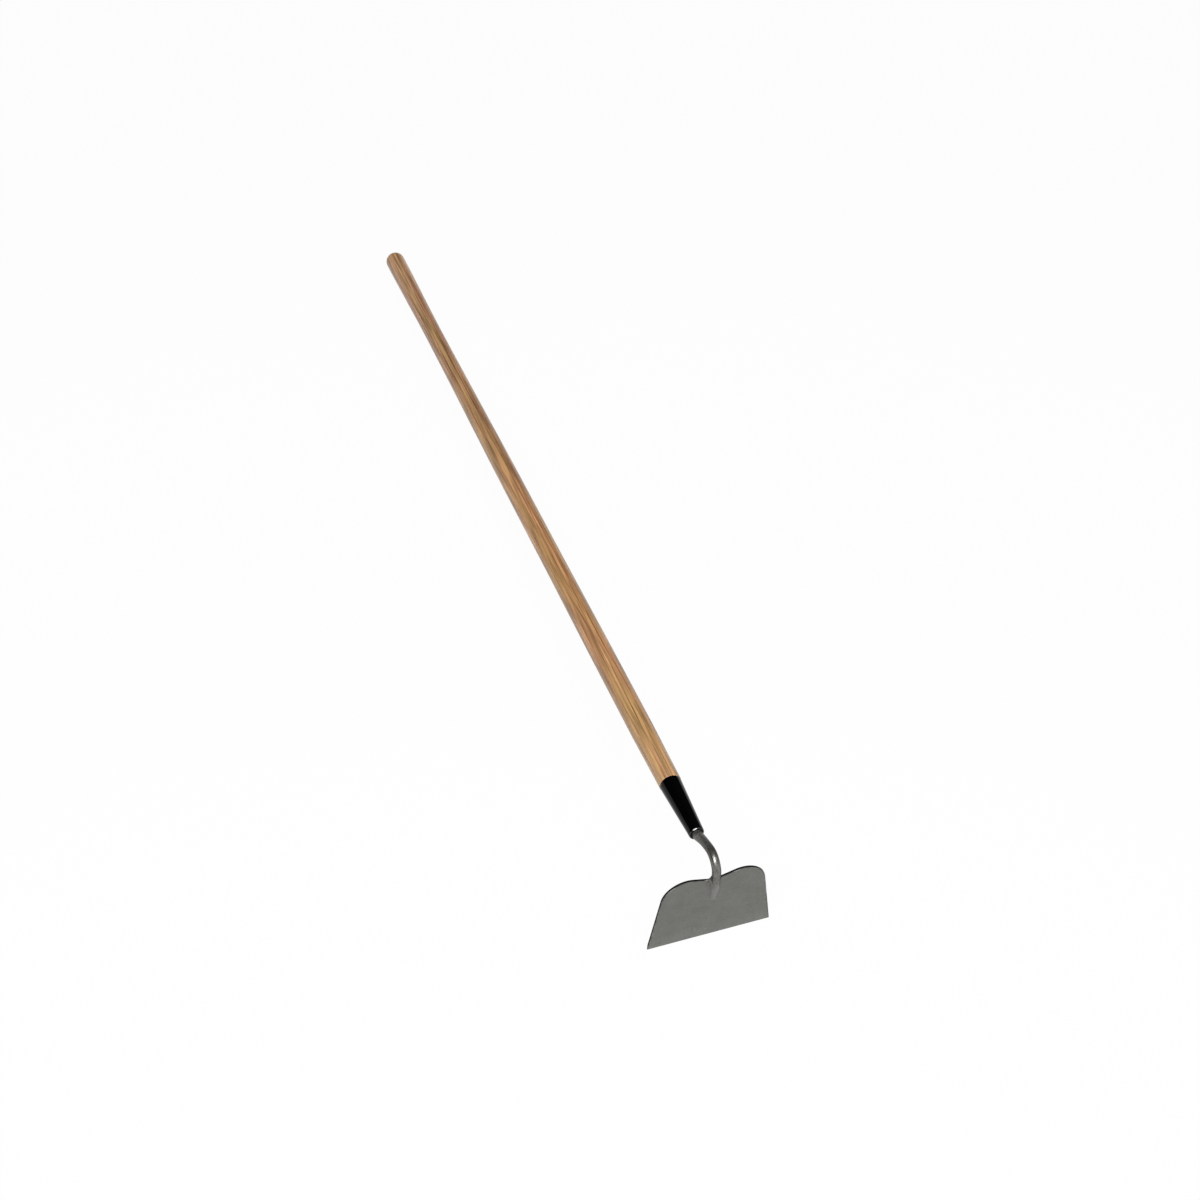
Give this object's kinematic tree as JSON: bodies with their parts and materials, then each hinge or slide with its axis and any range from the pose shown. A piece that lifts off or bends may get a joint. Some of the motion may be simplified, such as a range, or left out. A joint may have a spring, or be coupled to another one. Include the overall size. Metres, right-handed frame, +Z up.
{
  "type": "garden hoe",
  "caption": "Draw hoe with a long turned ash pole, a black steel ferrule and a gooseneck bar lapped and welded onto a flared plate blade.",
  "frame": {"origin": "middle of the object's box at floor level, on the plane that halves the blade", "axes": "+X from the head towards the butt of the pole, +Y across the blade, +Z up. The hoe is at rest on its cutting edge and its butt: the blade stands plumb with its outer face towards -X, and the pole slopes down to the butt."},
  "size_m": [1.4328, 0.159, 0.1427],
  "materials": {
    "ash": "turned ash under a thin clear lacquer",
    "black_paint": "smooth gloss black paint",
    "grey_steel": "dull grey forged and rolled steel under clear lacquer",
    "weld_steel": "dark, grainy weld"
  },
  "bodies": {
    "root": {"handle": "ash", "ferrule": "black_paint", "ferrule_nail": "black_paint", "neck": "grey_steel", "blade": "grey_steel", "weld_bead_left": "weld_steel", "weld_bead_right": "weld_steel"}
  },
  "joints": []
}
